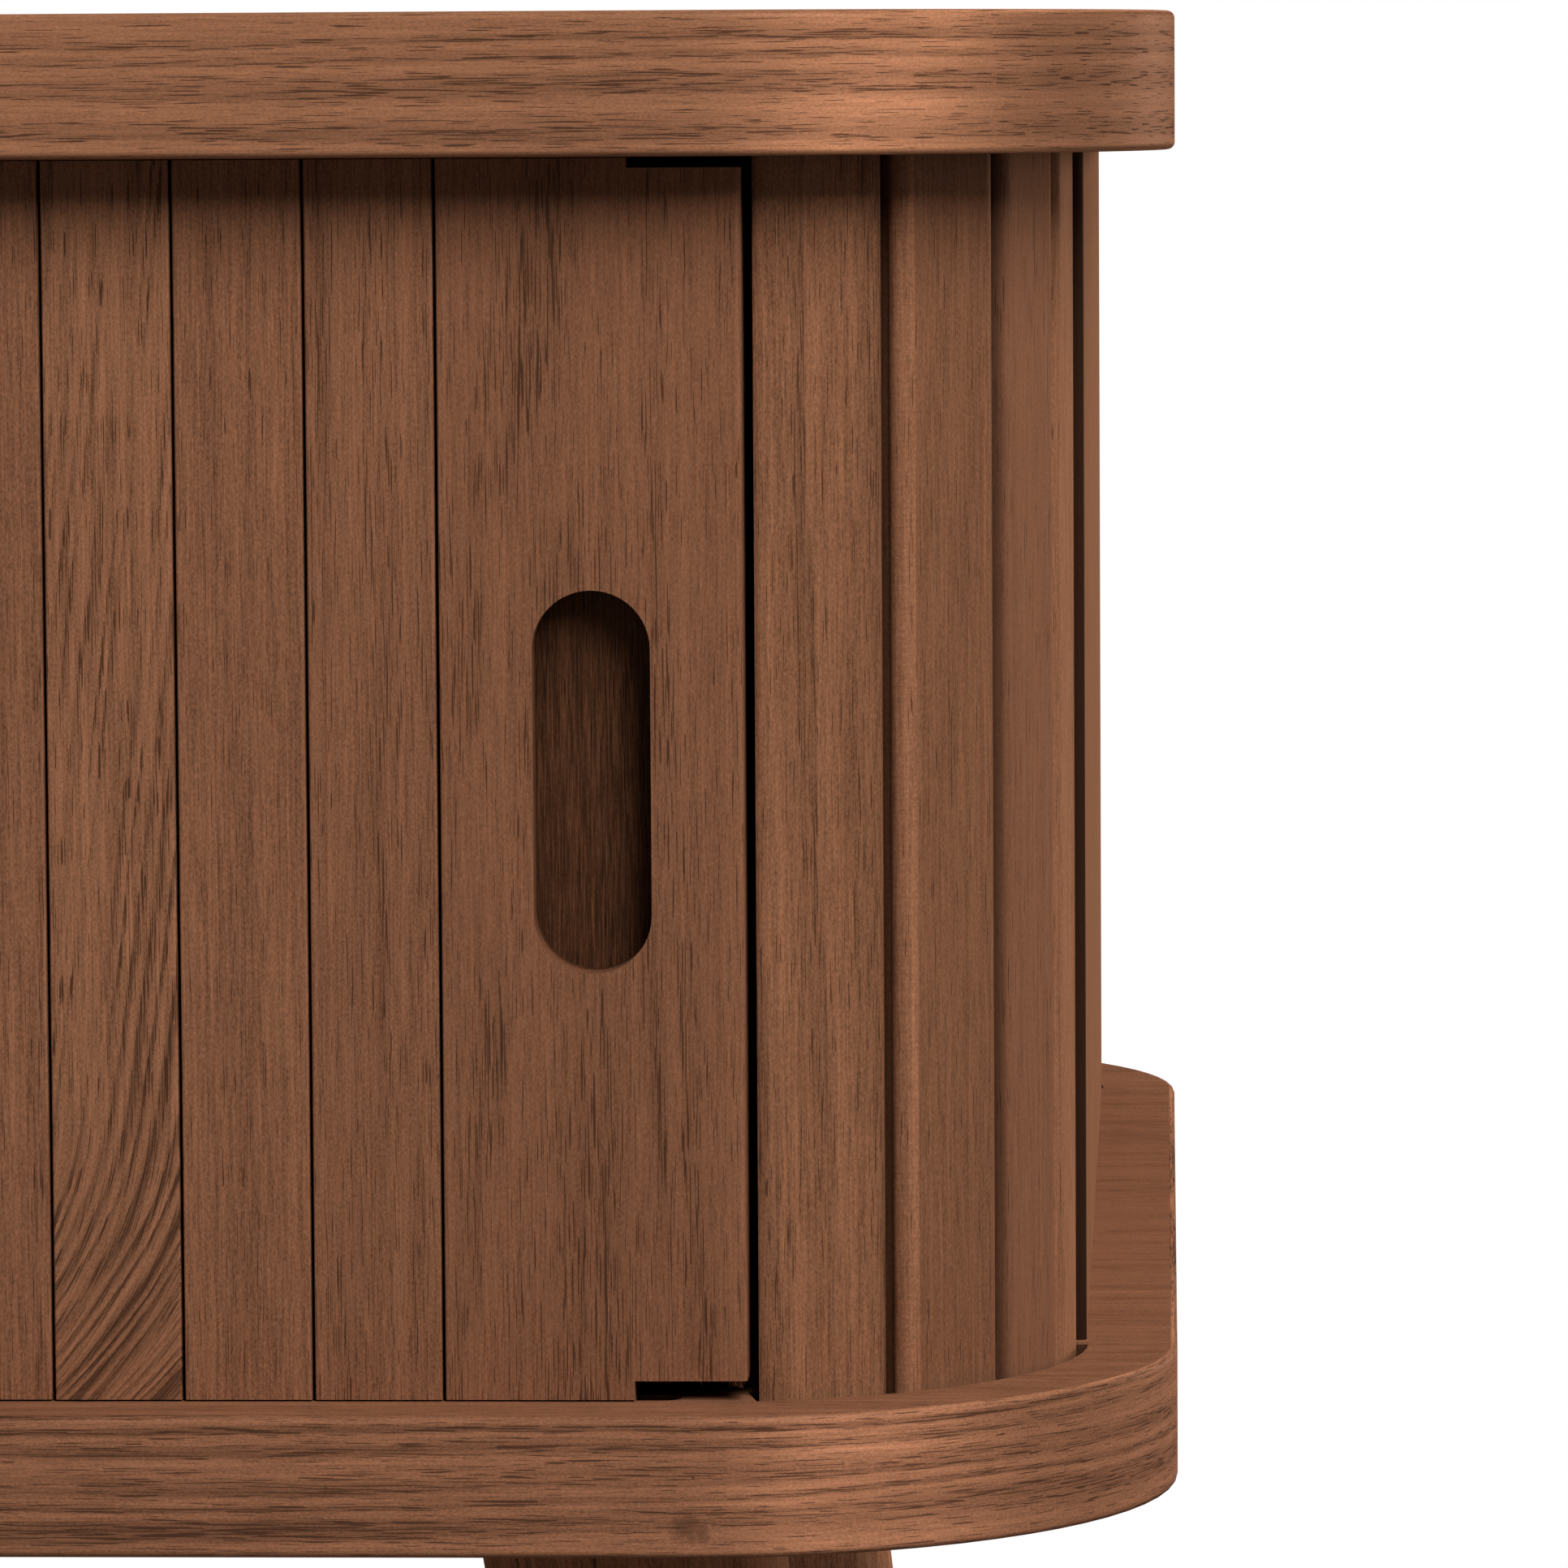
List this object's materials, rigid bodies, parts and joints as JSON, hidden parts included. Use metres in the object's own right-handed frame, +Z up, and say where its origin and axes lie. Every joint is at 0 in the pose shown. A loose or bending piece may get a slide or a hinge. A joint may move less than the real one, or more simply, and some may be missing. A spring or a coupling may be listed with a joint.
{
  "type": "bedside table with tambour door",
  "caption": "Bedside table with a slatted tambour door that slides across an open niche, rounded boards, slatted round corners and splayed tapered legs.",
  "frame": {"origin": "middle of the footprint, on the floor", "axes": "+Z up, -Y out of the front with the tambour door, +X to the right seen from the front"},
  "size_m": [0.56, 0.5, 0.5336],
  "materials": {
    "top_board_wood": "oiled walnut, satin",
    "base_board_wood": "oiled walnut, satin",
    "panel_wood": "oiled walnut, satin",
    "liner_wood": "bent walnut-faced plywood, matt",
    "corner_slat_wood": "oiled walnut, satin",
    "door_slat_wood": "oiled walnut, satin",
    "stile_wood": "oiled walnut, satin",
    "leg_wood": "oiled walnut, satin",
    "dowel_wood": "plain beech",
    "canvas": "tight plain weave, glued",
    "bolt_steel": "zinc plated",
    "glide_rubber": "matt"
  },
  "bodies": {
    "carcass": {"top_board": "top_board_wood", "base_board": "base_board_wood", "side_panel_right": "panel_wood", "side_panel_left": "panel_wood", "back_panel": "panel_wood", "divider": "panel_wood", "corner_liner_front_right": "liner_wood", "corner_liner_front_left": "liner_wood", "corner_liner_rear_right": "liner_wood", "corner_liner_rear_left": "liner_wood", "corner_slat_front_right_1": "corner_slat_wood", "corner_slat_front_right_2": "corner_slat_wood", "corner_slat_front_right_3": "corner_slat_wood", "corner_slat_front_right_4": "corner_slat_wood", "corner_slat_front_left_1": "corner_slat_wood", "corner_slat_front_left_2": "corner_slat_wood", "corner_slat_front_left_3": "corner_slat_wood", "corner_slat_front_left_4": "corner_slat_wood", "corner_slat_rear_right_1": "corner_slat_wood", "corner_slat_rear_right_2": "corner_slat_wood", "corner_slat_rear_right_3": "corner_slat_wood", "corner_slat_rear_right_4": "corner_slat_wood", "corner_slat_rear_left_1": "corner_slat_wood", "corner_slat_rear_left_2": "corner_slat_wood", "corner_slat_rear_left_3": "corner_slat_wood", "corner_slat_rear_left_4": "corner_slat_wood", "leg_front_right": "leg_wood", "leg_front_left": "leg_wood", "leg_rear_right": "leg_wood", "leg_rear_left": "leg_wood", "leg_bolts": "bolt_steel", "leg_glides": "glide_rubber", "base_dowels": "dowel_wood", "top_dowels": "dowel_wood"},
    "tambour_door": {"lead_stile": "stile_wood", "door_slat_1": "door_slat_wood", "door_slat_2": "door_slat_wood", "door_slat_3": "door_slat_wood", "door_slat_4": "door_slat_wood", "door_slat_5": "door_slat_wood", "door_slat_6": "door_slat_wood", "door_slat_7": "door_slat_wood", "door_slat_8": "door_slat_wood", "tambour_canvas": "canvas"}
  },
  "joints": [
    {"name": "door_slide", "type": "slide", "parent": "carcass", "child": "tambour_door", "axis": [-1, 0, 0], "range_m": [-0.001, 0.21]}
  ]
}
